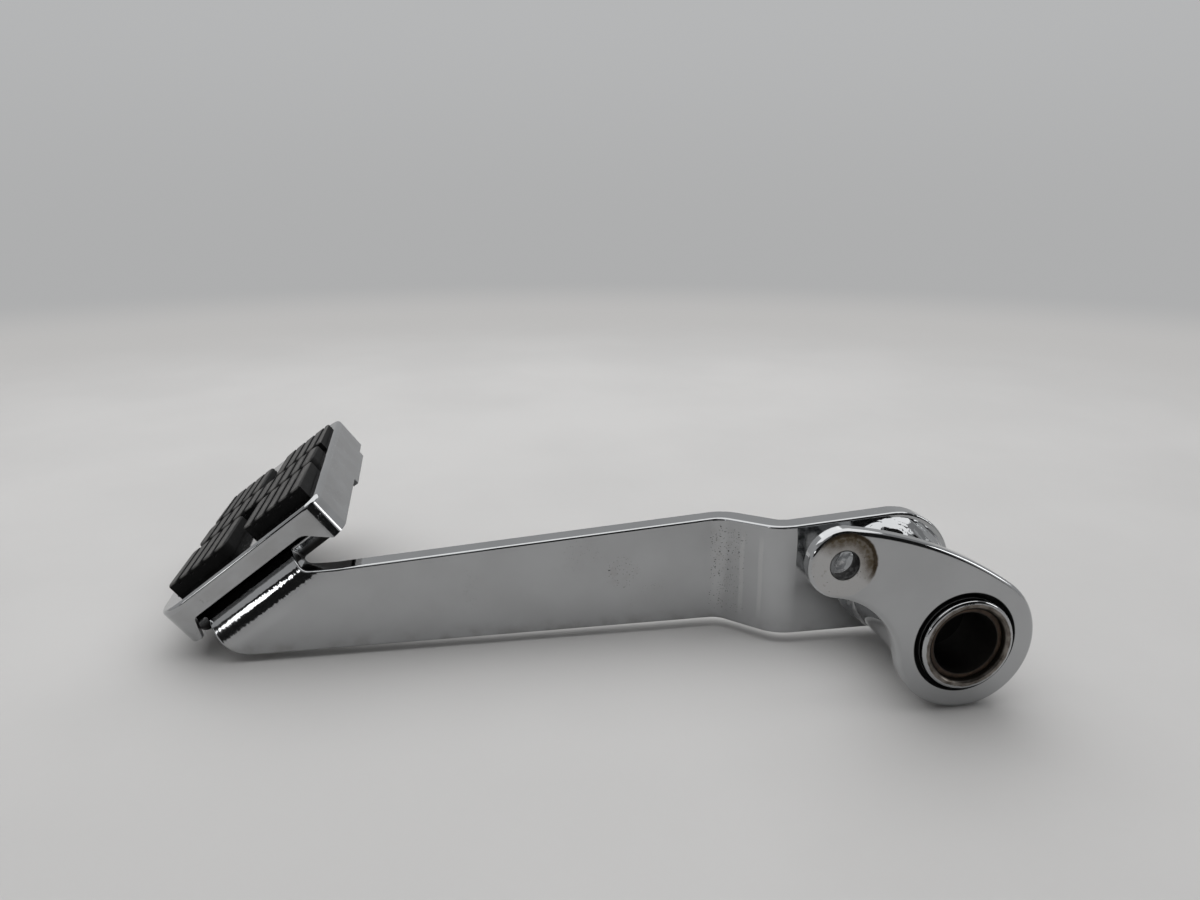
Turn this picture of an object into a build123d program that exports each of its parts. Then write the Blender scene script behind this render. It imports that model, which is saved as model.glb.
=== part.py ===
from build123d import *
import os
from math import cos, radians, sin, sqrt, tan

# Rear brake pedal: a cranked steel bar with a foot pad at one end and a pivot tube at the other.
# Millimetres. The origin is on the pivot axis, midway along the tube. +X runs from the pad to the
# pivot, +Y runs outboard along the pivot axis, and +Z is up.

# Pivot tube and its two bushes
bore_diameter = 22.225
bush_wall = 1.6
bush_length = 20.0
bush_recess = 2.0
tube_wall = 3.175
body_step = 3.1625
tube_length = 65.0
tube_edge_round = 1.0
tube_mouth_chamfer = 1.0

# Push-rod lever, a flat plate at the tube's inboard end
lever_setback = 2.5
lever_thickness = 5.0
lever_end_radius = 24.2
lever_end_x = 0.9
lever_end_z = -0.4
lever_tab_radius = 11.7
lever_top_radius = 131.0
lever_throat_radius = 27.0
lever_face_round = 1.8
lever_edge_round = 0.8
rod_hole_diameter = 9.525
rod_hole_x = -44.0
rod_hole_z = 30.4
groove_width = 1.7
groove_depth = 3.0

# Arm bar: round end on the tube, joggle, long blade
bar_thickness = 8.0
bar_edge_round = 0.9
arm_setback = 2.7
arm_end_radius = 23.3
arm_end_rise = 3.0
arm_top_slope = 4.45
arm_bottom_slope = 0.4
joggle_x = -52.5
joggle_offset = 17.8
joggle_angle = 45.0
joggle_radius = 8.0

# Bend that turns the blade into the pad plate
neck_x = -246.8
neck_z = -21.86
neck_width = 40.6
pad_angle = 36.4
pad_bend_radius = 12.0
heel_radius = 15.0
relief_radius = 4.0
ear_start = 55.0

# Foot pad: chromed cover over a moulded rubber tread, studs down through the plate
pad_bend = 88.5
toe_overhang = 12.8
cover_length = 75.0
cover_far_length = 68.0
cover_width = 118.0
cover_overhang = 16.36
cover_depth = 15.8
cover_face = 2.4
cover_wall = 2.4
cover_edge_round = 1.5
toe_corner_radius = 12.0
heel_corner_radius = 6.5
least_corner_radius = 2.0
skirt_tab_start = 59.0
skirt_tab_length = 41.0
skirt_tab_drop = 2.4
plate_clearance = 1.0
plate_corner_radius = 5.5
rubber_base = 5.2
rubber_clearance = 0.4

# Opening in the cover's near wall, which lets the neck through
opening_top = 7.8
opening_toe = 25.5
opening_toe_lean = 4.0
opening_heel = 24.5
opening_heel_lean = 8.0
opening_toe_round = 2.0
opening_heel_round = 5.0

# Tread: a wide centre block between four corner blocks, all ribbed, with tops that slope down outboard
corner_ribs = 5
centre_ribs = 10
tread_edge = 0.5
tread_height = 5.2
tread_far_height = 2.2
tread_margin = 5.75
tread_shift = 1.75
tread_end_margin = 10.0
tread_gap = 4.0
tread_lane = 8.0
centre_length = 60.0
centre_width = 24.0
centre_corner = 5.0
tread_toe_radius = 8.0
block_corner = 4.0
rib_groove_width = 1.3
rib_groove_depth = 1.8

# Studs of the cover and the washers and nuts under the plate
stud_diameter = 6.35
stud_inset = 24.0
stud_hole_clearance = 0.35
stud_reach = 1.5
washer_thickness = 1.6
washer_diameter = 12.0
nut_height = 5.6
nut_across_flats = 11.1
thread_clearance = 0.1

# Weld beads round the tube
lever_weld_leg = 3.5
lever_weld_root = 1.0
arm_weld_leg = 8.0
arm_weld_spread = 3.2
arm_weld_end = 0.4
outer_weld_leg = 2.0

# Radii and stations along the pivot axis
bore_radius = bore_diameter / 2
bush_radius = bore_radius + bush_wall
tube_radius = bush_radius + tube_wall
body_radius = tube_radius + body_step
inboard_end = -tube_length / 2
outboard_end = tube_length / 2
lever_front = inboard_end + lever_setback
lever_back = lever_front + lever_thickness
body_start = lever_back + lever_weld_root
arm_back = outboard_end - arm_setback
arm_front = arm_back - bar_thickness
blade_front = arm_front + joggle_offset
bend_radius = pad_bend_radius + bar_thickness
bend_axis = blade_front + bend_radius

# Directions at the bend: along it, square to it in the blade, then across and out of the bent plate
pad_run = Vector(cos(radians(pad_angle)), 0, sin(radians(pad_angle)))
blade_out = Vector(-sin(radians(pad_angle)), 0, cos(radians(pad_angle)))
outboard = Vector(0, 1, 0)
pad_out = blade_out * sin(radians(pad_bend)) - outboard * cos(radians(pad_bend))
ear_out = blade_out * sin(radians(ear_start)) - outboard * cos(radians(ear_start))

# Heights above the pad plate's upper face, and the pad's place along and across it
face_top = rubber_base + cover_face
skirt_bottom = face_top - cover_depth
tread_middle = face_top + (tread_height + tread_far_height) / 2
pad_shift = cover_length / 2 - toe_overhang
near_edge = -cover_overhang
pad_centre = near_edge + cover_width / 2


def meeting_point(first, first_way, second, second_way):
    """Point where two lines cross, each given by a point and a direction."""
    turn = first_way.X * second_way.Y - first_way.Y * second_way.X
    between = second - first
    along = (between.X * second_way.Y - between.Y * second_way.X) / turn
    return first + first_way * along


def point_between(first, first_reach, second, second_reach, side):
    """Point at set distances from two centres, on the side of their line that is asked for."""
    way = (second - first).normalized()
    span = (second - first).length
    along = (first_reach**2 - second_reach**2 + span**2) / (2 * span)
    across = sqrt(first_reach**2 - along**2)
    return first + way * along + Vector(-way.Y, way.X) * across * side


def arc_middle(centre, radius, first, second):
    """Point halfway along the arc between two points on it."""
    return centre + ((first + second) / 2 - centre).normalized() * radius


def clear_edges(shape, least_turn=35):
    """Edges where two faces of the shape meet at a clear angle."""
    found = ShapeList()
    for edge in shape.edges():
        middle = edge.position_at(0.5)
        sides = [face for face in shape.faces() if any(edge.is_same(other) for other in face.edges())]
        if len(sides) == 2:
            if sides[0].normal_at(middle).get_angle(sides[1].normal_at(middle)) > least_turn:
                found.append(edge)
    return found


# Pivot tube, with a thicker body between the lever and the arm
with BuildPart() as pivot_tube:
    with BuildSketch(Plane.XZ.offset(-inboard_end)):
        Circle(tube_radius)
        Circle(bush_radius, mode=Mode.SUBTRACT)
    extrude(amount=-tube_length)
    chamfer(pivot_tube.edges().filter_by(GeomType.CIRCLE).group_by(SortBy.RADIUS)[0], tube_mouth_chamfer)
    fillet(pivot_tube.edges().filter_by(GeomType.CIRCLE).group_by(SortBy.RADIUS)[-1], tube_edge_round)
    with BuildSketch(Plane.XZ.offset(-body_start)):
        Circle(body_radius)
        Circle(bush_radius, mode=Mode.SUBTRACT)
    extrude(amount=body_start - arm_front)
pivot_tube.part.label = "pivot_tube"

# Bushes, pressed in from each end and left a little below the tube's rims
with BuildPart() as inboard_bush:
    with BuildSketch(Plane.XZ.offset(-inboard_end - bush_recess)):
        Circle(bush_radius)
        Circle(bore_radius, mode=Mode.SUBTRACT)
    extrude(amount=-bush_length)
inboard_bush.part.label = "inboard_bush"

with BuildPart() as outboard_bush:
    with BuildSketch(Plane.XZ.offset(-outboard_end + bush_recess)):
        Circle(bush_radius)
        Circle(bore_radius, mode=Mode.SUBTRACT)
    extrude(amount=bush_length)
outboard_bush.part.label = "outboard_bush"

# Push-rod lever: a round end on the tube, a tab for the rod, and one arc along each side
tab_centre = Vector(rod_hole_x, rod_hole_z)
lever_axis = Vector(lever_end_x, lever_end_z)
crown_centre = point_between(
    tab_centre,
    lever_top_radius - lever_tab_radius,
    lever_axis,
    lever_top_radius - lever_end_radius,
    -1,
)
throat_centre = point_between(
    tab_centre,
    lever_throat_radius + lever_tab_radius,
    lever_axis,
    lever_throat_radius + lever_end_radius,
    -1,
)
tab_top = tab_centre + (tab_centre - crown_centre).normalized() * lever_tab_radius
end_top = lever_axis + (lever_axis - crown_centre).normalized() * lever_end_radius
tab_bottom = tab_centre + (throat_centre - tab_centre).normalized() * lever_tab_radius
end_bottom = lever_axis + (throat_centre - lever_axis).normalized() * lever_end_radius
lever_way = (lever_axis - tab_centre).normalized()
crown_middle = arc_middle(crown_centre, lever_top_radius, tab_top, end_top)
throat_middle = arc_middle(throat_centre, lever_throat_radius, tab_bottom, end_bottom)
hole_in_lever = tube_radius + groove_width

with BuildPart() as pushrod_lever:
    with BuildSketch(Plane.XZ.offset(-lever_front)):
        with BuildLine():
            ThreePointArc(tab_top, crown_middle, end_top)
            ThreePointArc(end_top, lever_axis + lever_way * lever_end_radius, end_bottom)
            ThreePointArc(end_bottom, throat_middle, tab_bottom)
            ThreePointArc(tab_bottom, tab_centre - lever_way * lever_tab_radius, tab_top)
        make_face()
    extrude(amount=-lever_thickness)
    fillet(pushrod_lever.faces().sort_by(Axis.Y)[0].edges(), lever_face_round)
    fillet(pushrod_lever.faces().sort_by(Axis.Y)[-1].edges(), lever_edge_round)
    with BuildSketch(Plane.XZ.offset(-lever_front)):
        Circle(hole_in_lever)
        with Locations(tab_centre):
            Circle(rod_hole_diameter / 2)
    extrude(amount=-lever_thickness, mode=Mode.SUBTRACT)
pushrod_lever.part.label = "pushrod_lever"

# Weld that fills the back of the lever's groove and runs as a fillet round the tube's body
with BuildPart() as lever_weld:
    with BuildSketch(Plane.XY):
        with BuildLine():
            Polyline(
                (tube_radius, lever_front + groove_depth),
                (hole_in_lever, lever_front + groove_depth),
                (hole_in_lever, lever_back),
                (body_radius + lever_weld_leg, lever_back),
                (body_radius, lever_back + lever_weld_leg),
                (body_radius, body_start),
                (tube_radius, body_start),
                close=True,
            )
        make_face()
    revolve(axis=Axis.Y)
lever_weld.part.label = "lever_weld"

# Arm outline, seen along the pivot axis
end_centre = Vector(0, arm_end_rise)
top_way = Vector(cos(radians(arm_top_slope)), sin(radians(arm_top_slope)))
bottom_way = Vector(cos(radians(arm_bottom_slope)), sin(radians(arm_bottom_slope)))
slope_way = Vector(pad_run.X, pad_run.Z)
rise_way = Vector(blade_out.X, blade_out.Z)
neck_foot = Vector(neck_x, neck_z)
neck_head = neck_foot + slope_way * neck_width
neck_rise = rise_way * (bend_radius + bar_thickness)
top_tangent = end_centre + Vector(-top_way.Y, top_way.X) * arm_end_radius
bottom_tangent = end_centre + Vector(bottom_way.Y, -bottom_way.X) * arm_end_radius
notch = meeting_point(top_tangent, top_way, neck_head, rise_way)
heel = meeting_point(bottom_tangent, bottom_way, neck_foot, rise_way)

# Middle line of the bar in plan, with the joggle's two corners
joggle_half_run = joggle_offset / 2 / tan(radians(joggle_angle))
blade_middle = blade_front + bar_thickness / 2
hub_middle = arm_front + bar_thickness / 2
plan_left = neck_x - 2 * bend_radius
plan_right = arm_end_radius + bar_thickness
outline_depth = tube_length + joggle_offset

# Pad frame: origin on the plate's upper face where the bend runs out, X up the slope, Y across
neck_point = Vector(neck_x, bend_axis, neck_z)
neck_plane = Plane(origin=neck_point, x_dir=outboard, z_dir=pad_run)
plate_plane = Plane(origin=neck_point + pad_out * bend_radius, x_dir=pad_run, z_dir=pad_out)
pad_plane = Plane(origin=plate_plane.from_local_coords((pad_shift, 0, 0)), x_dir=pad_run, z_dir=pad_out)

# Plane of the tread's tops, which fall from the near end of the pad to the far end
tread_span = cover_width - 2 * tread_end_margin
tread_fall = tread_height - tread_far_height
tread_plane = Plane(
    origin=pad_plane.from_local_coords((tread_shift, pad_centre, tread_middle)),
    x_dir=pad_run,
    z_dir=pad_out * tread_span + pad_plane.y_dir * tread_fall,
)

side_lane = centre_width + 2 * tread_gap
block_length = cover_length / 2 - tread_margin - tread_lane / 2
block_width = (tread_span - side_lane) / 2
stud_half_span = cover_width / 2 - stud_inset
stud_places = [(tread_shift, pad_centre - stud_half_span), (tread_shift, pad_centre + stud_half_span)]
stud_hole = stud_diameter / 2 + stud_hole_clearance


def half_length(station):
    """Half of the pad's length at a station across it."""
    taper = (cover_far_length - cover_length) / cover_width
    return (cover_length + taper * (station - near_edge)) / 2


def pad_outline(inset, toe_radius, near_toe_radius, near_end=near_edge):
    """Tapered pad sketch, set in from the cover's outside, with rounder corners at the toe."""
    far_end = near_edge + cover_width
    heel_radius_left = max(heel_corner_radius - inset, least_corner_radius)
    with BuildSketch() as outline:
        with BuildLine():
            Polyline(
                (-half_length(near_end), near_end),
                (half_length(near_end), near_end),
                (half_length(far_end), far_end),
                (-half_length(far_end), far_end),
                close=True,
            )
        make_face()
        if inset > 0:
            offset(amount=-inset, kind=Kind.INTERSECTION)
        for place, radius in (
            ((-cover_length, near_end), near_toe_radius),
            ((-cover_length, far_end), toe_radius),
            ((cover_length, near_end), heel_radius_left),
            ((cover_length, far_end), heel_radius_left),
        ):
            fillet(outline.vertices().sort_by_distance(place)[0], radius)
    return outline.sketch


def cover_outline(inset):
    """Sketch that follows the cover's outside at the distance given."""
    toe_radius = toe_corner_radius - inset
    return pad_outline(inset, toe_radius, toe_radius)


def corner_blocks(grow):
    """Sketch of the tread's four corner blocks, each grown by the amount given."""
    with BuildSketch() as blocks:
        with Locations((tread_shift, 0)):
            add(pad_outline(tread_margin - grow, tread_toe_radius + grow, tread_toe_radius + grow))
        with Locations((tread_shift, pad_centre)):
            Rectangle(cover_length, tread_span + 2 * grow, mode=Mode.INTERSECT)
            Rectangle(tread_lane - 2 * grow, cover_width, mode=Mode.SUBTRACT)
            Rectangle(cover_length, side_lane - 2 * grow, mode=Mode.SUBTRACT)
        lane_corners = [corner for corner in blocks.vertices() if abs(corner.X - tread_shift) < tread_lane]
        fillet(lane_corners, block_corner + grow)
    return blocks.sketch


def centre_block(grow):
    """Sketch of the tread's centre block, grown by the amount given."""
    with BuildSketch() as block:
        with Locations((tread_shift, pad_centre)):
            RectangleRounded(centre_length + 2 * grow, centre_width + 2 * grow, centre_corner + grow)
    return block.sketch


def bent_bar(first_turn):
    """Section of the bar round the bend, from the turn given to the plate, seen along the bend."""
    with BuildSketch() as section:
        with BuildLine():
            outside = CenterArc((0, 0), bend_radius, 180 - pad_bend, pad_bend - first_turn)
            inside = CenterArc((0, 0), pad_bend_radius, 180 - pad_bend, pad_bend - first_turn)
            Line(outside @ 0, inside @ 0)
            Line(outside @ 1, inside @ 1)
        make_face()
    return section.sketch


# Pad plate, with an ear on each side of the neck that runs a little way round the bend
plate_inset = cover_wall + plate_clearance
far_toe_radius = toe_corner_radius - plate_inset
ear_radius = bend_radius - bar_thickness / 2
with BuildPart() as pad_plate:
    with BuildSketch(neck_plane):
        add(bent_bar(ear_start))
    extrude(amount=2 * cover_length, both=True)
    with BuildSketch(plate_plane):
        Rectangle(4 * cover_length, 2 * cover_width, align=(Align.CENTER, Align.MIN))
    extrude(amount=-bar_thickness)
    with BuildSketch(pad_plane):
        add(pad_outline(plate_inset, far_toe_radius, far_toe_radius, near_edge - 2 * toe_corner_radius))
    extrude(amount=2 * bend_radius, both=True, mode=Mode.INTERSECT)
    ear_middle = neck_point + ear_out * ear_radius + pad_run * pad_shift
    ear_ends = pad_plate.faces().filter_by(GeomType.PLANE).sort_by_distance(ear_middle)[0]
    fillet(ear_ends.edges().sort_by(SortBy.LENGTH)[:2], plate_corner_radius)

# Arm: the cranked bar and its bend, cut to the outline, then the pad plate
with BuildPart() as pedal_arm:
    with BuildSketch(Plane.XY):
        with BuildLine():
            FilletPolyline(
                (plan_left, blade_middle),
                (joggle_x - joggle_half_run, blade_middle),
                (joggle_x + joggle_half_run, hub_middle),
                (plan_right, hub_middle),
                radius=joggle_radius + bar_thickness / 2,
            )
        trace(line_width=bar_thickness)
    extrude(amount=outline_depth, both=True)
    with BuildSketch(Plane(origin=(neck_x, 0, neck_z), x_dir=pad_run, z_dir=-outboard)):
        Rectangle(4 * neck_width, 4 * outline_depth, align=(Align.CENTER, Align.MIN))
    extrude(amount=outline_depth, both=True, mode=Mode.SUBTRACT)
    with BuildSketch(neck_plane):
        add(bent_bar(0))
    extrude(amount=2 * neck_width, both=True)
    with BuildSketch(Plane.XZ) as side_view:
        with BuildLine():
            Polyline(
                top_tangent, notch, neck_head + neck_rise, neck_foot + neck_rise, heel, bottom_tangent
            )
            ThreePointArc(bottom_tangent, end_centre + Vector(arm_end_radius, 0), top_tangent)
        make_face()
        fillet(side_view.vertices().sort_by_distance(heel)[0], heel_radius)
        fillet(side_view.vertices().sort_by_distance(notch)[0], relief_radius)
    extrude(amount=2 * outline_depth, both=True, mode=Mode.INTERSECT)
    add(pad_plate.part)
    fillet(clear_edges(pedal_arm.part), bar_edge_round)
    with BuildSketch(Plane.XZ.offset(-arm_front)):
        Circle(tube_radius)
    extrude(amount=-bar_thickness, mode=Mode.SUBTRACT)
    with BuildSketch(pad_plane):
        with Locations(*stud_places):
            Circle(stud_hole)
    extrude(amount=-bar_thickness, mode=Mode.SUBTRACT)
pedal_arm.part.label = "pedal_arm"


def bead_profile(foot, leg):
    """Hollow fillet between the tube and a plate face at the station given, on the leg's side."""
    hollow = Vector(tube_radius + abs(leg), foot + leg)
    dip = hollow + Vector(-abs(leg), -leg) * sqrt(0.5)
    with BuildSketch() as bead:
        with BuildLine():
            Line((tube_radius, foot + leg), (tube_radius, foot))
            Line((tube_radius, foot), (tube_radius + abs(leg), foot))
            ThreePointArc((tube_radius + abs(leg), foot), dip, (tube_radius, foot + leg))
        make_face()
    return bead.sketch


# Welds between the tube and the arm, one on each face of the bar, the inner one with a wider, higher foot
weld_foot = Vector(-0.3 * arm_weld_spread, 0.8 * arm_weld_spread)
with BuildPart() as arm_inner_weld:
    with BuildSketch(Plane.XZ.offset(-arm_front)):
        with Locations(weld_foot):
            Circle(body_radius + arm_weld_spread)
    with BuildSketch(Plane.XZ.offset(arm_weld_leg - arm_front)):
        Circle(body_radius + arm_weld_end)
    loft()
    with BuildSketch(Plane.XZ.offset(-arm_front)):
        Circle(body_radius)
    extrude(amount=arm_weld_leg, mode=Mode.SUBTRACT)
arm_inner_weld.part.label = "arm_inner_weld"

with BuildPart() as arm_outer_weld:
    with BuildSketch():
        add(bead_profile(arm_back, outer_weld_leg))
    revolve(axis=Axis.Y)
arm_outer_weld.part.label = "arm_outer_weld"

# Cover: a deep tray turned over the plate, with windows for the tread and two welded studs
stud_length = rubber_base + bar_thickness + washer_thickness + nut_height + stud_reach
near_wall = Plane(
    origin=pad_plane.from_local_coords((0, near_edge, face_top)),
    x_dir=pad_plane.x_dir,
    z_dir=-pad_plane.y_dir,
)
with BuildPart() as pad_cover:
    with BuildSketch(pad_plane.offset(skirt_bottom)):
        add(cover_outline(0))
    extrude(amount=cover_depth)
    fillet(pad_cover.faces().sort_by(Axis((0, 0, 0), pad_out))[-1].edges(), cover_edge_round)
    with BuildSketch(pad_plane.offset(skirt_bottom)):
        add(cover_outline(cover_wall))
    extrude(amount=cover_depth - cover_face, mode=Mode.SUBTRACT)
    with BuildSketch(pad_plane.offset(skirt_bottom)):
        add(cover_outline(0))
        add(cover_outline(cover_wall), mode=Mode.SUBTRACT)
        with Locations((0, near_edge + skirt_tab_start)):
            Rectangle(cover_length, skirt_tab_length, align=(Align.MIN, Align.MIN), mode=Mode.INTERSECT)
    extrude(amount=-skirt_tab_drop)
    with BuildSketch(pad_plane.offset(rubber_base)):
        add(corner_blocks(rubber_clearance))
        add(centre_block(rubber_clearance))
    extrude(amount=cover_face, mode=Mode.SUBTRACT)
    with BuildSketch(near_wall) as neck_opening:
        with BuildLine():
            Polyline(
                (-opening_toe, -opening_top),
                (opening_heel, -opening_top),
                (opening_heel + opening_heel_lean, -cover_depth),
                (-opening_toe - opening_toe_lean, -cover_depth),
                close=True,
            )
        make_face()
        toe_corner = (-opening_toe, -opening_top)
        heel_corner = (opening_heel, -opening_top)
        fillet(neck_opening.vertices().sort_by_distance(toe_corner)[0], opening_toe_round)
        fillet(neck_opening.vertices().sort_by_distance(heel_corner)[0], opening_heel_round)
    extrude(amount=-toe_corner_radius, mode=Mode.SUBTRACT)
    with BuildSketch(pad_plane.offset(rubber_base)):
        with Locations(*stud_places):
            Circle(stud_diameter / 2)
    extrude(amount=-stud_length)
pad_cover.part.label = "pad_cover"

# Tread: a rubber sheet under the cover, with ribbed blocks that stand through its windows
with BuildPart() as tread_pad:
    with BuildSketch(pad_plane.offset(rubber_base)):
        add(corner_blocks(0))
        add(centre_block(0))
    extrude(amount=cover_face + 2 * tread_height)
    split(bisect_by=tread_plane, keep=Keep.BOTTOM)
    chamfer(tread_pad.faces().filter_by(tread_plane).edges(), tread_edge)
    with BuildSketch(tread_plane.offset(-rib_groove_depth)):
        with GridLocations(block_length + tread_lane, block_width + side_lane, 2, 2):
            with GridLocations(block_length / corner_ribs, 0, corner_ribs - 1, 1):
                Rectangle(rib_groove_width, block_width + tread_gap)
        with GridLocations(centre_length / centre_ribs, 0, centre_ribs - 1, 1):
            Rectangle(rib_groove_width, centre_width + tread_gap)
    extrude(amount=2 * rib_groove_depth, mode=Mode.SUBTRACT)
    with BuildSketch(pad_plane):
        add(cover_outline(cover_wall + rubber_clearance))
        with Locations(*stud_places):
            Circle(stud_hole, mode=Mode.SUBTRACT)
    extrude(amount=rubber_base)
tread_pad.part.label = "tread_pad"

# Lock washers and nuts under the plate
with BuildPart() as stud_washers:
    with BuildSketch(pad_plane.offset(-bar_thickness)):
        with Locations(*stud_places):
            Circle(washer_diameter / 2)
            Circle(stud_hole, mode=Mode.SUBTRACT)
    extrude(amount=-washer_thickness)
stud_washers.part.label = "stud_washers"

with BuildPart() as stud_nuts:
    with BuildSketch(pad_plane.offset(-bar_thickness - washer_thickness)):
        with Locations(*stud_places):
            RegularPolygon(nut_across_flats / 2, 6, major_radius=False)
            Circle(stud_diameter / 2 + thread_clearance, mode=Mode.SUBTRACT)
    extrude(amount=-nut_height)
stud_nuts.part.label = "stud_nuts"

os.makedirs("parts", exist_ok=True)
export_step(pivot_tube.part, "parts/pivot_tube.step")
export_step(inboard_bush.part, "parts/inboard_bush.step")
export_step(outboard_bush.part, "parts/outboard_bush.step")
export_step(pushrod_lever.part, "parts/pushrod_lever.step")
export_step(lever_weld.part, "parts/lever_weld.step")
export_step(pedal_arm.part, "parts/pedal_arm.step")
export_step(arm_inner_weld.part, "parts/arm_inner_weld.step")
export_step(arm_outer_weld.part, "parts/arm_outer_weld.step")
export_step(pad_cover.part, "parts/pad_cover.step")
export_step(tread_pad.part, "parts/tread_pad.step")
export_step(stud_washers.part, "parts/stud_washers.step")
export_step(stud_nuts.part, "parts/stud_nuts.step")
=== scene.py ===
from math import cos, pi, radians, sin

import bmesh
import bpy
from mathutils import Matrix, Vector


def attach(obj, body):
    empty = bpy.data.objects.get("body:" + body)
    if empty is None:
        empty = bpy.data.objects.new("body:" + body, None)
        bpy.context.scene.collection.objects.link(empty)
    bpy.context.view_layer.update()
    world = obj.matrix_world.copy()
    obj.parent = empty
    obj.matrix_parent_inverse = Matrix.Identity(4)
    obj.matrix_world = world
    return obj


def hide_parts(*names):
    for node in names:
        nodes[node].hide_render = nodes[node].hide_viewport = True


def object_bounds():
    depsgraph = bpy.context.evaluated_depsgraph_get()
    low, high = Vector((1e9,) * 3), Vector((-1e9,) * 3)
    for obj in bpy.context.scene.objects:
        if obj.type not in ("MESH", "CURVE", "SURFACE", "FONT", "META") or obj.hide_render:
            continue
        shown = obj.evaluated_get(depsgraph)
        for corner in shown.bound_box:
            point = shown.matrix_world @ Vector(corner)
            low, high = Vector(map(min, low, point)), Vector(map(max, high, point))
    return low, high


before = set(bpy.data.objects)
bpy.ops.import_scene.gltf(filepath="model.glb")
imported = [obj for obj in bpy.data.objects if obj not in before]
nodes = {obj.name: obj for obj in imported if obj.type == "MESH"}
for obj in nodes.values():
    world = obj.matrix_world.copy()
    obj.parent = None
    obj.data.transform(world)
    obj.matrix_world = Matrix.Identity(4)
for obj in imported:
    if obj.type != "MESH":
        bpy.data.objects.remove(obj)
cad_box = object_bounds()

# Sizes of the pedal that its finishes and welds follow, in metres, in the frame of the part
mm = 0.001
tube_radius = 15.8875 * mm
body_radius = 19.05 * mm
tube_end = -32.5 * mm
tube_far_end = 32.5 * mm
bush_radius = 12.7125 * mm
bore_radius = 11.1125 * mm
lever_front = -30.0 * mm
lever_back = -25.0 * mm
groove_radius = tube_radius + 1.7 * mm
groove_floor = lever_front + 3.0 * mm
arm_front = 21.8 * mm
arm_back = 29.8 * mm
blade_front = 39.6 * mm
rod_hole = Vector((-44.0, -30.0, 30.4)) * mm
rod_hole_radius = 4.7625 * mm

# Bend at the neck and the pad on it: along the bend, out of the blade's end, out of the pad
neck = Vector((-246.8, 59.6, -21.86)) * mm
bend_radius = 20.0 * mm
pad_shift = 24.7 * mm
pad_middle = 42.64 * mm
pad_angle = radians(36.4)
pad_run = Vector((cos(pad_angle), 0, sin(pad_angle)))
blade_out = Vector((-sin(pad_angle), 0, cos(pad_angle)))
pad_bend = radians(88.5)
pad_out = blade_out * sin(pad_bend) - Vector((0, cos(pad_bend), 0))
pad_across = pad_out.cross(pad_run)
pad_origin = neck + pad_out * bend_radius + pad_run * pad_shift

# Plane of the tread's block tops, which falls a little towards the pad's far end
tread_length = 98.0 * mm
tread_fall = 3.0 * mm
tread_shift = 1.75 * mm
tread_level = 11.3 * mm
tread_up = (pad_out * tread_length + pad_across * tread_fall).normalized()
tread_centre = pad_origin + pad_run * tread_shift + pad_across * pad_middle + pad_out * tread_level

# Ribs of the tread on its corner blocks and on its wide centre block
centre_width = 24.0 * mm
centre_rib_pitch = 6.0 * mm
corner_rib_pitch = 5.55 * mm
corner_block_middle = 17.875 * mm

# Studs of the pad's cover, as far as they stand out of their nuts
stud_radius = 3.175 * mm
stud_pitch = 0.9 * mm
stud_half_span = 35.0 * mm
stud_bottom = -16.7 * mm
nut_bottom = -15.2 * mm

# Worn places on the arm: a pitted strip and a pitted patch on the blade; two pale lines at the crank are
# painted highlights
strip_span = (-65.0 * mm, -57.0 * mm)
strip_levels = (-14.0 * mm, 16.0 * mm)
crank_highlights = (-56.1 * mm, -50.6 * mm)
crank_highlight_levels = (-10.0 * mm, 12.0 * mm)
crank_highlight_width = 0.6 * mm
blade_patch = (-101.5 * mm, blade_front, 1.5 * mm)

# Round mark that a washer left on the lever, stained brown on one side of the rod hole
washer_mark_radius = 11.0 * mm
stain_way = Vector((0.56, 0, 0.83))

# Radii between which the tube's bare end face passes into its plating
bare_edge = (14.9 * mm, 15.3 * mm)

# Ways along the axes, factors that drop the pivot axis from a place, and where that axis then is
x_way, y_way, z_way = (1, 0, 0), (0, 1, 0), (0, 0, 1)
off_axis = (1, 0, 1)
axis_point = (0, 0, 0)

# Middle of the pedal, which the lamps face
stage_middle = (-0.13, 0.03, 0.0)

# Camera of the photograph, in the frame of the part
photo_width = 1200
focal_pixels = 891.22
sensor_width = 36.0
camera_place = Vector((-159.95, -270.45, 143.25)) * mm
camera_right = Vector((0.9873, -0.1591, -0.0006))
camera_up = Vector((0.0455, 0.2786, 0.9593))
camera_back = Vector((-0.1525, -0.9471, 0.2823))


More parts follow.
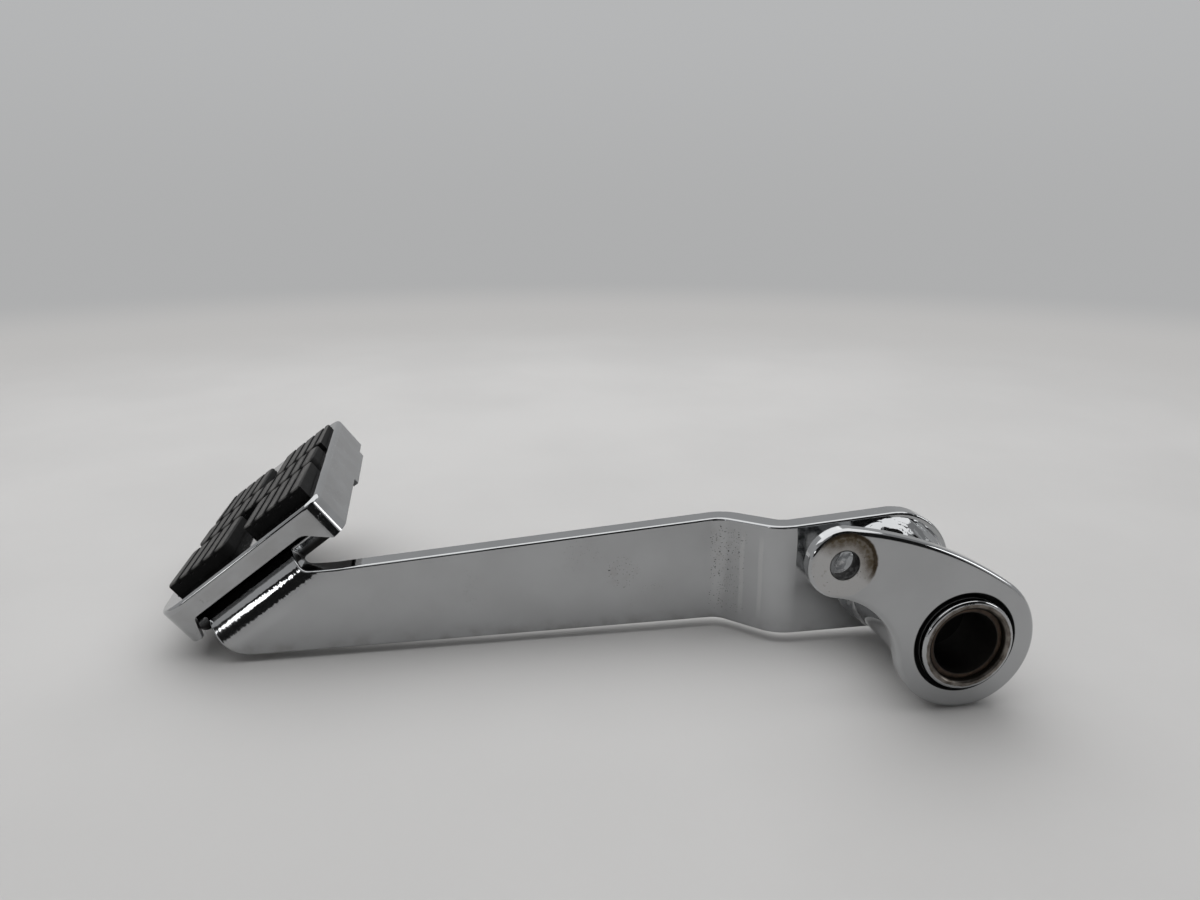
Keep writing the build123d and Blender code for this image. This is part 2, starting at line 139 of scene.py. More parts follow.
class Wire:
    """An output in a node tree. Expressions on wires add Math nodes to the tree."""

    def __init__(self, tree, socket=None):
        self.tree = tree
        self.socket = socket

    def node(self, kind, settings=None, sockets=None, take=0):
        """Adds a node of any type: its settings first, then the values or wires of its sockets."""
        made = self.tree.nodes.new(kind)
        for name, value in (settings or {}).items():
            setattr(made, name, value)
        for name, value in (sockets or {}).items():
            if isinstance(value, Wire):
                self.tree.links.new(value.socket, made.inputs[name])
            else:
                made.inputs[name].default_value = value
        return Wire(self.tree, made.outputs[take] if len(made.outputs) else None)

    def math(self, operation, *terms):
        return self.node("ShaderNodeMath", {"operation": operation}, dict(enumerate(terms)))

    def __add__(self, other):
        return self.math("ADD", self, other)

    def __sub__(self, other):
        return self.math("SUBTRACT", self, other)

    def __rsub__(self, other):
        return self.math("SUBTRACT", other, self)

    def __mul__(self, other):
        return self.math("MULTIPLY", self, other)

    __radd__ = __add__
    __rmul__ = __mul__

    def ramp(self, low, high):
        """Straight rise from 0 at low to 1 at high."""
        return self.node("ShaderNodeMapRange", {}, {"Value": self, "From Min": low, "From Max": high})

    def rise(self, low, high):
        """Smooth step from 0 at low to 1 at high."""
        return self.node(
            "ShaderNodeMapRange",
            {"interpolation_type": "SMOOTHSTEP"},
            {"Value": self, "From Min": low, "From Max": high},
        )

    def fall(self, low, high):
        """Smooth step from 1 at low to 0 at high."""
        return 1 - self.rise(low, high)

    def band(self, low, high, blur):
        """Mask of the values between two limits, with soft ends."""
        return self.rise(low - blur, low) * self.fall(high, high + blur)

    def along(self, way):
        """How far a place lies along a direction."""
        return self.node(
            "ShaderNodeVectorMath", {"operation": "DOT_PRODUCT"}, {0: self, 1: tuple(way)}, "Value"
        )

    def away(self, point):
        """Distance of a place from a point."""
        return self.node(
            "ShaderNodeVectorMath", {"operation": "DISTANCE"}, {0: self, 1: tuple(point)}, "Value"
        )

    def scaled(self, factors):
        """A place with each of its coordinates times its own factor."""
        return self.node("ShaderNodeVectorMath", {"operation": "MULTIPLY"}, {0: self, 1: tuple(factors)})

    def joined(self, x, y, z):
        return self.node("ShaderNodeCombineXYZ", {}, {"X": x, "Y": y, "Z": z})

    def noise(self, scale, detail=2.0, rough=0.5, seed=0.0):
        return self.node(
            "ShaderNodeTexNoise",
            {"noise_dimensions": "4D"},
            {"Vector": self, "W": seed, "Scale": scale, "Detail": detail, "Roughness": rough},
        )

    def over(self, colour, under):
        """Colour mixed over another by this mask."""
        return self.node("ShaderNodeMix", {"data_type": "RGBA"}, {0: self, 6: under, 7: colour}, 2)


def grey(value, warmth=0.0):
    """Linear grey with a little more red and less blue."""
    return (value * (1 + warmth), value, value * (1 - warmth), 1.0)


# Tones and roughness that several finishes share, and how deep a bump of height 1 is
plate_tone, plate_cloud = grey(0.46, -0.016), grey(0.42, -0.014)
plate_rough, plate_mean_rough = 0.05, 0.08
plate_bump = 0.4 * mm
# Near-black tone and roughness painted as shade into the lever's groove and rod hole
painted_shade_tone, painted_shade_rough = grey(0.006), 0.9


class Finish:
    """A material in the making: its name, the place on the piece, and what its shader gets."""

    def __init__(self, name):
        self.material = bpy.data.materials.new(name)
        self.material.use_nodes = True
        self.material.node_tree.nodes.clear()
        self.bench = Wire(self.material.node_tree)
        self.place = self.bench.node("ShaderNodeTexCoord", take="Object")
        self.colour = None
        self.rough = None
        self.metal = 1.0
        self.height = None

    def done(self, bump_depth, **constants):
        sockets = {"Base Color": self.colour, "Roughness": self.rough, "Metallic": self.metal}
        if self.height is not None:
            sockets["Normal"] = self.bench.node(
                "ShaderNodeBump", {}, {"Strength": 1.0, "Distance": bump_depth, "Height": self.height}
            )
        sockets.update({name.replace("_", " "): value for name, value in constants.items()})
        shader = self.bench.node("ShaderNodeBsdfPrincipled", {}, sockets)
        self.bench.node("ShaderNodeOutputMaterial", {}, {"Surface": shader})
        return self.material


def speckles(place, size, share):
    """Mask of small spots of about the size given, on a share of the cells."""
    cell_scale = 1 / (3 * size)
    cells = place.node("ShaderNodeTexVoronoi", {}, {"Vector": place, "Scale": cell_scale}, "Distance")
    chance = place.node("ShaderNodeTexVoronoi", {}, {"Vector": place, "Scale": cell_scale}, "Color")
    pick = place.node("ShaderNodeSeparateColor", {}, {"Color": chance})
    ragged = cells + place.noise(0.9 / size, 1.0) * 0.2
    return ragged.fall(0.2, 0.3) * pick.rise(1 - share, 1 - share + 0.04)


def plated(name):
    """Bright plating with slow clouds, fine wipe marks and faint waves."""
    finish = Finish(name)
    place = finish.place
    clouds = place.noise(45.0, 3.0)
    wipes = place.scaled((60.0, 700.0, 700.0)).noise(1.0, 3.0, 0.6)
    waves = place.noise(80.0, 2.0)
    finish.colour = clouds.rise(0.3, 0.75).over(plate_cloud, plate_tone)
    finish.rough = plate_rough + clouds.rise(0.35, 0.8) * 0.04 + wipes.rise(0.55, 0.8) * 0.04
    finish.height = waves * 0.03 + wipes * 0.006
    return finish


def spoil(finish, mask, colour, rough):
    """Lays a patch of another colour and roughness over the plating where the mask is."""
    finish.colour = mask.over(colour, finish.colour)
    finish.rough = finish.rough + mask * (rough - plate_mean_rough)


def arm_finish():
    finish = plated("arm_plating")
    place = finish.place
    length, station, level = place.along(x_way), place.along(y_way), place.along(z_way)

    strip = length.band(*strip_span, 3.0 * mm) * level.band(*strip_levels, 4.0 * mm)
    strip = strip * (0.55 + level.rise(-4.0 * mm, 13.0 * mm) * 0.45)
    patch = place.away(blade_patch).fall(3.0 * mm, 9.0 * mm)
    clusters = place.noise(42.0, 2.0).rise(0.55, 0.68)
    worn = (clusters * 0.35 + strip + patch).rise(0.05, 1.0)
    pits = speckles(place, 0.26 * mm, 0.7) * worn
    dashes = speckles(place.scaled((0.35, 0.35, 1.0)), 0.22 * mm, 0.5) * strip
    large_pits = speckles(place, 0.5 * mm, 0.012) + speckles(place, 0.5 * mm, 0.2) * worn
    marks = (pits * 0.9 + dashes + large_pits).rise(0.0, 0.8)
    # Painted shade: the plating is darker in patches towards the arm's bottom edge, near the floor
    low_edge_shade = level.fall(-22.5 * mm, -14.0 * mm) * place.noise(140.0, 4.0).rise(0.42, 0.7)
    haze = worn * place.noise(300.0, 3.0).rise(0.4, 0.7)
    spoil(finish, low_edge_shade * 0.5, grey(0.22, 0.05), 0.26)
    spoil(finish, haze * 0.3, grey(0.32, 0.03), 0.2)
    spoil(finish, marks, grey(0.035, 0.03), 0.45)

    # Two pale lines at the crank: painted highlights
    wavy = length + place.noise(90.0) * (0.6 * mm)
    first, second = (wavy.band(start, start + crank_highlight_width, 0.6 * mm) for start in crank_highlights)
    crank_highlight_mask = (first + second) * level.band(*crank_highlight_levels, 8.0 * mm)
    spoil(finish, crank_highlight_mask * 0.28, grey(0.66), 0.3)

    # Painted shade: the plating under the pad, beyond the bend, is made dark
    out = place.along(blade_out) - neck.dot(blade_out)
    under_pad_shade = station.rise(neck.y - 11.5 * mm, neck.y - 8.5 * mm) * out.rise(6.0 * mm, 10.0 * mm)
    spoil(finish, under_pad_shade, grey(0.022, 0.04), 0.42)
    bend = out.band(2.0 * mm, 13.5 * mm, 3.0 * mm) * station.fall(neck.y - 9.0 * mm, neck.y - 6.0 * mm)
    ripple = place.joined(place.along(pad_run), out * 0.5, station * 0.5).noise(680.0, 1.0)
    finish.height = finish.height + bend * ripple * 0.10 - marks * 0.4
    return finish.done(plate_bump)


def lever_finish():
    finish = plated("lever_plating")
    place = finish.place
    flat = place.scaled(off_axis)
    hole = rod_hole * Vector(off_axis)
    from_hole = flat.away(hole)
    uneven = from_hole + place.noise(330.0, 3.0) * (1.2 * mm)
    mottled = place.noise(600.0, 3.0)

    near_face = place.along(y_way).fall(lever_front + 0.3 * mm, lever_front + 0.9 * mm)
    washer_mark = uneven.fall(washer_mark_radius, washer_mark_radius + 0.7 * mm) * near_face
    stained = (flat.along(stain_way) - hole.dot(stain_way)).rise(-2.0 * mm, 5.0 * mm)
    stain = uneven.rise(4.0 * mm, 9.5 * mm) * washer_mark * stained
    stain_rim = uneven.band(10.4 * mm, 11.2 * mm, 0.6 * mm) * near_face * stained
    spoil(finish, washer_mark * (1 - stained) * 0.25, grey(0.52, 0.06), 0.18)
    spoil(finish, washer_mark * stained * 0.6, grey(0.34, 0.07), 0.20)
    spoil(finish, stain * (0.75 + mottled.rise(0.4, 0.6) * 0.25), (0.105, 0.082, 0.052, 1.0), 0.36)
    spoil(finish, stain_rim * 0.7, (0.060, 0.042, 0.024, 1.0), 0.36)
    spoil(finish, washer_mark * mottled.rise(0.58, 0.68) * 0.35, grey(0.2, 0.12), 0.35)
    spoil(finish, speckles(place, 0.3 * mm, 0.12) * washer_mark, grey(0.06, 0.1), 0.5)

    # Painted shade: the wall of the rod hole is made near black
    hole_wall_shade = from_hole.fall(rod_hole_radius + 0.1 * mm, rod_hole_radius + 0.4 * mm)
    spoil(finish, hole_wall_shade * (0.9 + mottled.rise(0.4, 0.55) * 0.1), grey(0.008, 0.05), painted_shade_rough)
    # Painted shade: the groove round the tube in front of the lever is made black
    groove_ring_shade = flat.away(axis_point).fall(groove_radius + 0.1 * mm, groove_radius + 0.4 * mm)
    spoil(finish, groove_ring_shade, painted_shade_tone, painted_shade_rough)
    finish.metal = 1 - groove_ring_shade - hole_wall_shade
    finish.height = finish.height - washer_mark * mottled * 0.08 + hole_wall_shade * mottled * 0.5
    return finish.done(plate_bump)


def tube_finish():
    finish = plated("tube_plating")
    place = finish.place
    from_axis = place.scaled(off_axis).away(axis_point)
    station = place.along(y_way)
    tarnish = place.noise(330.0, 4.0)
    turned = place.joined(from_axis, 0.0, 0.0).noise(5200.0, 2.0)

    near_end = station.fall(tube_end + 0.9 * mm, tube_end + 1.6 * mm)
    far_end = station.rise(tube_far_end - 1.6 * mm, tube_far_end - 0.9 * mm)
    uneven = from_axis + place.noise(420.0, 3.0) * (0.7 * mm)
    bare = uneven.fall(*bare_edge) * (near_end + far_end)
    bare_colour = tarnish.rise(0.35, 0.7).over(grey(0.075, 0.16), grey(0.20, 0.10))
    spoil(finish, bare, bare_colour, 0.32)
    inside = from_axis.fall(bush_radius + 0.2 * mm, bush_radius + 0.8 * mm)
    spoil(finish, inside, grey(0.02, 0.2), 0.7)
    # Painted shade: the tube is made black where it lies inside the lever's groove
    groove_shade = station.band(lever_front + 0.6 * mm, groove_floor, 0.8 * mm)
    spoil(finish, groove_shade, painted_shade_tone, painted_shade_rough)
    finish.metal = 1 - groove_shade
    finish.height = finish.height + bare * (turned * 0.14 + tarnish * 0.08)
    return finish.done(plate_bump)


def cover_finish():
    finish = plated("cover_plating")
    place = finish.place
    rubbed = place.noise(150.0, 4.0).rise(0.5, 0.75)
    pits = speckles(place, 0.26 * mm, 0.35) * place.noise(48.0, 2.0).rise(0.5, 0.65)
    under_face = (place.along(pad_out) - pad_origin.dot(pad_out)).fall(5.0 * mm, 5.4 * mm)
    dull = under_face * place.noise(90.0, 3.0).rise(0.3, 0.6)
    spoil(finish, rubbed * 0.18, grey(0.36), 0.18)
    spoil(finish, dull * 0.3, grey(0.3, 0.02), 0.25)
    spoil(finish, pits, grey(0.07, 0.05), 0.45)
    finish.height = finish.height - pits * 0.4
    return finish.done(plate_bump)


def weld_finish():
    finish = plated("weld_plating")
    place = finish.place
    lumps = place.noise(420.0, 3.0, 0.55)
    pits = speckles(place, 0.3 * mm, 0.3) * place.noise(130.0, 2.0).rise(0.45, 0.6)
    spoil(finish, pits, grey(0.05, 0.05), 0.5)
    finish.height = finish.height + lumps * 0.25 - pits * 0.5
    return finish.done(0.5 * mm)


def groove_finish():
    """Weld at the bottom of the lever's groove, painted black as shade in the groove, and plated behind
    the lever.
    """
    finish = plated("groove_weld")
    # Painted shade: the weld's front part, inside the groove, is made black
    groove_shade = finish.place.along(y_way).fall(lever_back - 0.6 * mm, lever_back - 0.1 * mm)
    spoil(finish, groove_shade, painted_shade_tone, painted_shade_rough)
    finish.metal = 1 - groove_shade
    return finish.done(plate_bump)


def bush_finish():
    finish = Finish("bush_steel")
    place = finish.place
    flat = place.scaled(off_axis)
    tarnish = place.noise(380.0, 4.0)
    oil_brown, dark_brown = (0.12, 0.082, 0.056, 1.0), (0.05, 0.036, 0.028, 1.0)
    # The bore's wall is made near black
    bore_wall_dark = flat.away(axis_point).fall(bore_radius + 0.1 * mm, bore_radius + 0.5 * mm)
    finish.colour = tarnish.rise(0.3, 0.75).over(oil_brown, dark_brown)
    finish.colour = bore_wall_dark.over(grey(0.03, 0.12), finish.colour)
    finish.rough = 0.38 + tarnish * 0.3
    finish.metal = 0.75
    finish.height = tarnish * 0.4 + flat.noise(2600.0, 2.0) * 0.2
    return finish.done(0.2 * mm)


def rib_crown(run, pitch, phase):
    """Mask of the crowns of ribs that repeat along a run."""
    turn = run.math("FRACT", run * (1 / pitch) + phase)
    from_crown = run.math("ABSOLUTE", turn - 0.5)
    return from_crown.fall(0.14, 0.40)


def tread_finish():
    """Black rubber whose rib crowns are painted lighter, partly as dust and wear and partly as painted
    sheen, with scuffs along them.
    """
    finish = Finish("tread_rubber")
    place = finish.place
    across = place.along(pad_across) - tread_centre.dot(pad_across)
    run = place.along(pad_run) - tread_centre.dot(pad_run)
    top = (place.along(tread_up) - tread_centre.dot(tread_up)).rise(-0.7 * mm, -0.2 * mm)
    dust = place.noise(210.0, 4.0, 0.6)
    scuffs = place.joined(place.along(pad_run), place.along(pad_across) * 0.05, 0.0).noise(900.0, 2.0)
    on_centre = across.band(-centre_width / 2, centre_width / 2, 1.0 * mm)
    from_block = run.math("ABSOLUTE", run) - corner_block_middle
    centre_crown = rib_crown(run, centre_rib_pitch, 0.0)
    corner_crown = rib_crown(from_block, corner_rib_pitch, 0.5)
    crown = corner_crown + on_centre * (centre_crown - corner_crown)
    # Rib crowns lighter than the near-black sides and grooves: partly dust and wear, partly painted
    # sheen
    worn = top * crown * (0.6 + dust.rise(0.3, 0.7) * 0.4)
    finish.colour = worn.over(grey(0.12, 0.03), grey(0.004))
    finish.colour = (top * scuffs.rise(0.60, 0.75) * 0.35).over(grey(0.14, 0.04), finish.colour)
    finish.rough = 0.66 - top * 0.14 + dust * 0.12
    finish.metal = 0.0
    finish.height = place.noise(1800.0, 3.0, 0.6) * 0.5 + dust * 0.25
    return finish.done(0.15 * mm, Specular_IOR_Level=0.2)


def fastener_finish():
    finish = Finish("fastener_steel")
    place = finish.place
    tarnish = place.noise(260.0, 4.0)
    finish.colour = tarnish.rise(0.4, 0.75).over(grey(0.26, 0.08), grey(0.48, 0.01))
    finish.rough = 0.25 + tarnish * 0.3
    finish.height = place.noise(900.0, 3.0) * 0.4
    return finish.done(0.2 * mm)


def floor_finish():
    """Pale floor with faint clouds. Its far part is seen in even tones, but still lights as a floor."""
    finish = Finish("pale_floor")
    place = finish.place
    bench = finish.bench
    clouds = place.noise(7.0, 4.0)
    grain = place.noise(320.0, 2.0)
    finish.colour = clouds.rise(0.3, 0.7).over(grey(0.62, 0.012), grey(0.66, 0.012))
    finish.rough = 0.55 + grain * 0.15
    seen = bench.node("ShaderNodeLightPath", take="Is Camera Ray")
    seen = seen + bench.node("ShaderNodeLightPath", take="Is Glossy Ray")
    seen = (seen + bench.node("ShaderNodeLightPath", take="Is Transmission Ray")).ramp(0.0, 1.0)
    reach = place.away(stage_middle)
    wall_low, wall_high, far_floor = grey(0.425, -0.006), grey(0.47, -0.01), grey(0.50, 0.012)
    wall = place.along(z_way).rise(0.0, 0.6).over(wall_high, wall_low)
    tone = reach.rise(0.9, 1.4).over(wall, far_floor)
    pale = bench.node("ShaderNodeEmission", {}, {"Color": tone})
    shader = bench.node(
        "ShaderNodeBsdfPrincipled",
        {},
        {"Base Color": finish.colour, "Roughness": finish.rough, "Metallic": 0.0},
    )
    distant = reach.rise(0.5, 1.0) * seen
    mixed = bench.node("ShaderNodeMixShader", {}, {0: distant, 1: shader, 2: pale})
    bench.node("ShaderNodeOutputMaterial", {}, {"Surface": mixed})
    return finish.material


def dark_finish():
    finish = Finish("dark_cloth")
    finish.colour = finish.place.noise(3.0).over(grey(0.008), grey(0.014))
    finish.rough = 0.9
    finish.metal = 0.0
    return finish.done(0.0)


finishes = {
    "pedal_arm": arm_finish(),
    "pushrod_lever": lever_finish(),
    "pivot_tube": tube_finish(),
    "lever_weld": groove_finish(),
    "pad_cover": cover_finish(),
    "tread_pad": tread_finish(),
    "inboard_bush": bush_finish(),
    "stud_nuts": fastener_finish(),
}
finishes["outboard_bush"] = finishes["inboard_bush"]
finishes["stud_washers"] = finishes["stud_nuts"]
for name, finish in finishes.items():
    nodes[name].data.materials.clear()
    nodes[name].data.materials.append(finish)


class Tree:
    """A Geometry Nodes tree in the making, with a finish and named sizes as its inputs."""

    def __init__(self, name, sizes):
        self.tree = bpy.data.node_groups.new(name, "GeometryNodeTree")
        self.bench = Wire(self.tree)
        self.identifiers = {}
        for label in sizes:
            self.add_input(label, "NodeSocketFloat")
        self.add_input("Finish", "NodeSocketMaterial")
        self.tree.interface.new_socket("Mesh", in_out="OUTPUT", socket_type="NodeSocketGeometry")
        self.start = self.tree.nodes.new("NodeGroupInput")
        self.end = self.tree.nodes.new("NodeGroupOutput")

    def add_input(self, label, kind):
        socket = self.tree.interface.new_socket(label, in_out="INPUT", socket_type=kind)
        self.identifiers[label] = socket.identifier

    def given(self, label):
        return Wire(self.tree, self.start.outputs[label])

    def finish(self, geometry):
        whole = self.bench.node("GeometryNodeRealizeInstances", {}, {"Geometry": geometry})
        smooth = self.bench.node("GeometryNodeSetShadeSmooth", {}, {"Geometry": whole})
        dressed = self.bench.node(
            "GeometryNodeSetMaterial", {}, {"Geometry": smooth, "Material": self.given("Finish")}
        )
        self.tree.links.new(dressed.socket, self.end.inputs[0])

    def make(self, name, values):
        """Plain mesh object that the tree gives for these values."""
        holder = bpy.data.objects.new(name + "_holder", bpy.data.meshes.new(name + "_holder"))
        bpy.context.scene.collection.objects.link(holder)
        modifier = holder.modifiers.new("shape", "NODES")
        modifier.node_group = self.tree
        for label, value in values.items():
            modifier[self.identifiers[label]] = value
        graph = bpy.context.evaluated_depsgraph_get()
        mesh = bpy.data.meshes.new_from_object(holder.evaluated_get(graph), depsgraph=graph)
        holder.modifiers.remove(modifier)
        bpy.data.objects.remove(holder)
        piece = bpy.data.objects.new(name, mesh)
        mesh.name = name
        bpy.context.scene.collection.objects.link(piece)
        return piece


def bead_tree():
    """Weld bead round the tube: a ring with the ripples and lumps of a hand-laid weld."""
    tree = Tree(
        "weld_bead",
        ["Ring Radius", "Bead Radius", "Ripples", "Ripple Height", "Lump Height", "Station", "Seed"],
    )
    bench = tree.bench
    ring_steps, bead_steps = 360, 28
    ripple_slant = 60.0
    lump_scale = 210.0
    ring = bench.node(
        "GeometryNodeCurvePrimitiveCircle",
        {},
        {"Resolution": ring_steps, "Radius": tree.given("Ring Radius")},
    )
    bead = bench.node(
        "GeometryNodeCurvePrimitiveCircle",
        {},
        {"Resolution": bead_steps, "Radius": tree.given("Bead Radius")},
    )
    body = bench.node("GeometryNodeCurveToMesh", {}, {"Curve": ring, "Profile Curve": bead})
    place = bench.node("GeometryNodeInputPosition")
    turn = bench.math("ARCTAN2", place.along(y_way), place.along(x_way))
    swept = (turn + place.along(z_way) * ripple_slant) * tree.given("Ripples")
    ripple = bench.math("SINE", swept) * tree.given("Ripple Height")
    lump = (place.noise(lump_scale, seed=tree.given("Seed")) - 0.5) * tree.given("Lump Height")
    push = bench.node(
        "ShaderNodeVectorMath",
        {"operation": "SCALE"},
        {0: bench.node("GeometryNodeInputNormal"), "Scale": ripple + lump},
    )
    shaped = bench.node("GeometryNodeSetPosition", {}, {"Geometry": body, "Offset": push})
    stood = bench.node(
        "GeometryNodeTransform",
        {},
        {
            "Geometry": shaped,
            "Translation": bench.joined(0.0, tree.given("Station"), 0.0),
            "Rotation": (pi / 2, 0, 0),
        },
    )
    tree.finish(stood)
    return tree


def skirt_tree():
    """Weld that runs from a round foot on the arm down to the tube, in a lumpy skirt.

    A flat sheet is rolled into a ring: its X goes once round the tube, and its Y goes round the
    weld's section, along the face from the arm to the tube and back inside the tube's wall."""
    tree = Tree(
        "weld_skirt",
        [
            "Foot Radius",
            "Foot Shift",
            "Foot Rise",
            "Foot Station",
            "Tip Radius",
            "Tip Station",
            "Core Radius",
            "Bulge",
            "Ripples",
            "Ripple Height",
            "Lump Height",
            "Seed",
        ],
    )
    bench = tree.bench
    turn_points, section_points = 361, 61
    face_end, tip_end, core_end = 0.8, 0.85, 0.97
    plain_share = 0.12
    ripple_slant, ripple_wander, wander_scale = 9.0, 8.0, 120.0
    lump_scale = 140.0
    seam = 0.001 * mm
    sheet = bench.node(
        "GeometryNodeMeshGrid",
        {},
        {"Size X": 1.0, "Size Y": 1.0, "Vertices X": turn_points, "Vertices Y": section_points},
    )
    spot = bench.node("GeometryNodeInputPosition")
    turn = (spot.along(x_way) + 0.5) * (2 * pi)
    section = spot.along(y_way) + 0.5
    face = section.ramp(0.0, face_end)
    tip = section.ramp(face_end, tip_end)
    core = section.ramp(tip_end, core_end)
    close = section.ramp(core_end, 1.0)
    foot = tree.given("Foot Radius")
    slope = foot + (tree.given("Tip Radius") - foot) * face
    slope = slope + bench.math("SINE", face * pi) * tree.given("Bulge")
    inward = slope + (tree.given("Core Radius") - slope) * tip
    radius = inward + (foot - inward) * close
    foot_share = 1 - face + close
    shift = tree.given("Foot Shift") * foot_share
    rise = tree.given("Foot Rise") * foot_share
    depth = tree.given("Foot Station") - tree.given("Tip Station")
    station = tree.given("Foot Station") - depth * face + depth * core
    cosine = bench.math("COSINE", turn)
    sine = bench.math("SINE", turn)
    plain = bench.joined(shift + radius * cosine, station, rise + radius * sine)
    wander = plain.noise(wander_scale) * ripple_wander
    swept = turn * tree.given("Ripples") + face * ripple_slant + wander
    ripple = bench.math("SINE", swept) * tree.given("Ripple Height")
    lump = (plain.noise(lump_scale, seed=tree.given("Seed")) - 0.5) * tree.given("Lump Height")
    shown = face.rise(0.0, plain_share) * (1 - tip)
    lumpy = radius + (ripple + lump) * shown
    rolled = bench.joined(shift + lumpy * cosine, station, rise + lumpy * sine)
    ring = bench.node("GeometryNodeSetPosition", {}, {"Geometry": sheet, "Position": rolled})
    sealed = bench.node("GeometryNodeMergeByDistance", {}, {"Geometry": ring, "Distance": seam})
    tree.finish(sealed)
    return tree


def thread_tree():
    """Thread on the ends of the cover's two studs: a helical ridge, set on each stud."""
    tree = Tree("stud_thread", ["Stud Radius", "Pitch", "Length", "Ridge"])
    bench = tree.bench
    turn_steps, ridge_steps = 48, 8
    end_inset = 0.3 * mm
    helix = bench.node(
        "GeometryNodeCurveSpiral",
        {},
        {
            "Resolution": turn_steps,
            "Rotations": bench.math("DIVIDE", tree.given("Length"), tree.given("Pitch")),
            "Start Radius": tree.given("Stud Radius"),
            "End Radius": tree.given("Stud Radius"),
            "Height": tree.given("Length"),
        },
    )
    ridge = bench.node(
        "GeometryNodeCurvePrimitiveCircle",
        {},
        {"Resolution": ridge_steps, "Radius": tree.given("Ridge")},
    )
    thread = bench.node(
        "GeometryNodeCurveToMesh", {}, {"Curve": helix, "Profile Curve": ridge, "Fill Caps": True}
    )
    leaned = bench.node(
        "GeometryNodeTransform",
        {},
        {"Geometry": thread, "Rotation": pad_out.to_track_quat("Z", "Y").to_euler()},
    )
    first = pad_origin + pad_run * tread_shift + pad_across * (pad_middle - stud_half_span)
    studs = bench.node(
        "GeometryNodeMeshLine",
        {},
        {
            "Count": 2,
            "Start Location": first + pad_out * (stud_bottom + end_inset),
            "Offset": pad_across * (2 * stud_half_span),
        },
    )
    tree.finish(bench.node("GeometryNodeInstanceOnPoints", {}, {"Points": studs, "Instance": leaned}))
    return tree


def add_piece(piece, slot, *stands_for):
    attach(piece, "root")
    if stands_for:
        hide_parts(*stands_for)


def add_welds():
    finish = weld_finish()
    skirt = skirt_tree().make(
        "arm_inner_skirt",
        {
            "Foot Radius": body_radius + 3.2 * mm,
            "Foot Shift": -0.96 * mm,
            "Foot Rise": 2.56 * mm,
            "Foot Station": arm_front + 0.4 * mm,
            "Tip Radius": body_radius + 0.3 * mm,
            "Tip Station": arm_front - 8.0 * mm,
            "Core Radius": body_radius - 0.8 * mm,
            "Bulge": 0.4 * mm,
            "Ripples": 21.0,
            "Ripple Height": 0.14 * mm,
            "Lump Height": 1.5 * mm,
            "Seed": 2.7,
            "Finish": finish,
        },
    )
    add_piece(skirt, "bright_plate", "arm_inner_weld")
    tree = bead_tree()
    outer_ring, lever_ring = tube_radius + 0.1 * mm, body_radius + 0.9 * mm
    for name, radius, bead, station, ripples, seed, stands_for in (
        ("arm_outer_bead", outer_ring, 1.6 * mm, arm_back + 0.1 * mm, 31.0, 7.9, ["arm_outer_weld"]),
        ("lever_bead", lever_ring, 2.2 * mm, lever_back + 1.7 * mm, 25.0, 4.6, []),
    ):
        ring = tree.make(
            name,
            {
                "Ring Radius": radius,
                "Bead Radius": bead,
                "Ripples": ripples,
                "Ripple Height": 0.1 * bead,
                "Lump Height": 0.5 * bead,
                "Station": station,
                "Seed": seed,
                "Finish": finish,
            },
        )
        add_piece(ring, "bright_plate", *stands_for)


def add_threads():
    threads = thread_tree().make(
        "stud_threads",
        {
            "Stud Radius": stud_radius - 0.05 * mm,
            "Pitch": stud_pitch,
            "Length": nut_bottom - stud_bottom - 0.2 * mm,
            "Ridge": 0.24 * mm,
            "Finish": finishes["stud_nuts"],
        },
    )
    add_piece(threads, "fastener_steel")


def add_stage(name, shape, material):
    mesh = bpy.data.meshes.new(name)
    shape.to_mesh(mesh)
    shape.free()
    mesh.materials.append(material)
    thing = bpy.data.objects.new(name, mesh)
    bpy.context.scene.collection.objects.link(thing)
    return thing


def set_floor():
    """Pale floor that curves up into a round backdrop."""
    floor_gap = 0.1 * mm
    inner_radius, flat_radius, curve_radius = 0.3, 1.4, 0.5
    wall_height = 1.1
    curve_steps, round_steps = 16, 96
    seam = 0.01 * mm
    floor_level = cad_box[0].z - floor_gap
    profile = [(0.0, 0.0), (inner_radius, 0.0), (flat_radius, 0.0)]
    for step in range(1, curve_steps + 1):
        turn = pi / 2 * step / curve_steps
        profile.append((flat_radius + curve_radius * sin(turn), curve_radius * (1 - cos(turn))))
    profile.append((flat_radius + curve_radius, wall_height))
    shape = bmesh.new()
    points = [shape.verts.new((radius, 0, floor_level + height)) for radius, height in profile]
    edges = [shape.edges.new(pair) for pair in zip(points, points[1:])]
    bmesh.ops.spin(
        shape,
        geom=points + edges,
        cent=axis_point,
        axis=z_way,
        angle=2 * pi,
        steps=round_steps,
        use_merge=True,
    )
    bmesh.ops.remove_doubles(shape, verts=shape.verts, dist=seam)
    bmesh.ops.recalc_face_normals(shape, faces=shape.faces)
    for face in shape.faces:
        face.smooth = True
    add_stage("floor", shape, floor_finish())


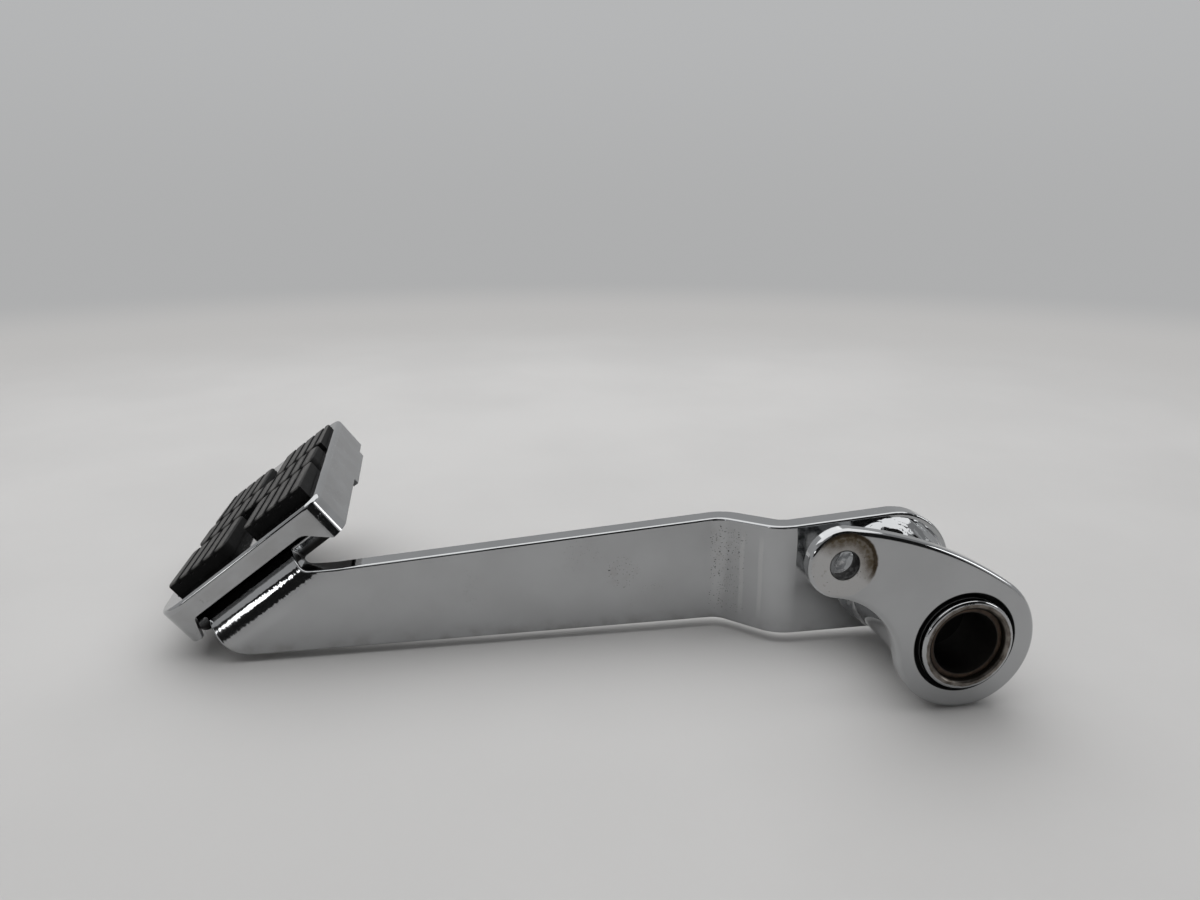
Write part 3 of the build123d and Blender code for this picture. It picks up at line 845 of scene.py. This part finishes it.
def set_dark_cloth():
    """Dark cloth in an arch over the camera, seen only in reflections, and higher over the arm.

    A panel is given by its left and right ends in metres and by the angles where it starts and ends."""
    arch_radius = 0.9
    low_panel = (-1.85, 1.2, -1, 40)
    high_panel = (-0.22, 1.2, 40, 76)
    panel_steps = 16
    shape = bmesh.new()
    for left, right, start, end in (low_panel, high_panel):
        rows = []
        for step in range(panel_steps + 1):
            turn = radians(start + (end - start) * step / panel_steps)
            y, z = -arch_radius * cos(turn), arch_radius * sin(turn)
            rows.append([shape.verts.new((x, y, z)) for x in (left, right)])
        for low, high in zip(rows, rows[1:]):
            shape.faces.new((low[0], high[0], high[1], low[1]))
    cloth = add_stage("dark_cloth", shape, dark_finish())
    cloth.visible_camera = False
    cloth.visible_diffuse = False
    cloth.visible_shadow = False
    cloth.visible_transmission = False


def add_lamp(name, place, width, depth, radiance, lights_room=True):
    """Soft rectangular lamp of an even brightness, or only its reflection where it lights no room."""
    lamp = bpy.data.lights.new(name, "AREA")
    lamp.shape = "RECTANGLE"
    lamp.size = width
    lamp.size_y = depth
    lamp.energy = radiance * pi * width * depth
    holder = bpy.data.objects.new(name, lamp)
    holder.location = place
    holder.rotation_euler = (Vector(stage_middle) - Vector(place)).to_track_quat("-Z", "Y").to_euler()
    holder.visible_camera = False
    holder.visible_diffuse = lights_room
    bpy.context.scene.collection.objects.link(holder)


def set_light():
    """Even room light, one wide lamp overhead, and two small bright panels that the plating mirrors."""
    world = bpy.data.worlds.new("soft_room")
    bpy.context.scene.world = world
    world.use_nodes = True
    room = world.node_tree.nodes["Background"]
    room.inputs["Color"].default_value = (0.31, 0.314, 0.318, 1.0)
    room.inputs["Strength"].default_value = 1.0
    add_lamp("top_lamp", (-0.13, 0.35, 0.85), width=1.8, depth=1.5, radiance=1.24)
    add_lamp(
        "left_lamp", (-0.941, -0.544, 0.268), width=0.16, depth=0.09, radiance=4.0, lights_room=False
    )
    add_lamp("right_lamp", (0.82, -0.17, 0.40), width=0.20, depth=0.35, radiance=3.0, lights_room=False)


def set_camera():
    camera = bpy.data.cameras.new("photo_camera")
    camera.sensor_width = sensor_width
    camera.lens = focal_pixels / photo_width * sensor_width
    camera.clip_start = 0.01
    holder = bpy.data.objects.new("photo_camera", camera)
    turn = Matrix((camera_right, camera_up, camera_back)).transposed()
    holder.matrix_world = Matrix.Translation(camera_place) @ turn.to_4x4()
    bpy.context.scene.collection.objects.link(holder)
    bpy.context.scene.camera = holder


add_welds()
add_threads()
set_floor()
set_dark_cloth()
set_light()
set_camera()
bpy.context.scene.view_settings.view_transform = "Standard"
